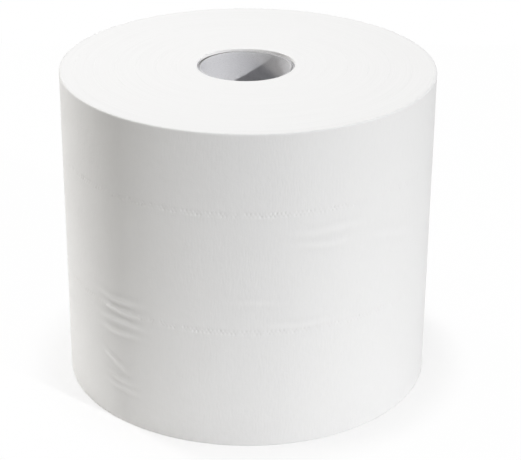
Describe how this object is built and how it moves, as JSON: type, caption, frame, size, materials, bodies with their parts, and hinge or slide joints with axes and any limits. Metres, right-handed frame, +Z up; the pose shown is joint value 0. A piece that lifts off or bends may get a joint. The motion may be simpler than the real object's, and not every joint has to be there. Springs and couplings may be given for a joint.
{
  "type": "paper towel roll",
  "caption": "Wide jumbo roll of white two-ply paper towel on a paperboard tube, standing on its end.",
  "frame": {"origin": "middle of the roll's foot, at the centre of its box", "axes": "+Z up along the roll, which stands on its end; -Y towards the side that the picture shows"},
  "size_m": [0.2527, 0.2532, 0.22],
  "materials": {
    "tissue_paper": "creped two-ply tissue, matte white",
    "core_paperboard": "grey recycled paperboard, matte"
  },
  "bodies": {
    "root": {"wound_paper": "tissue_paper", "core_tube": "core_paperboard"}
  },
  "joints": []
}
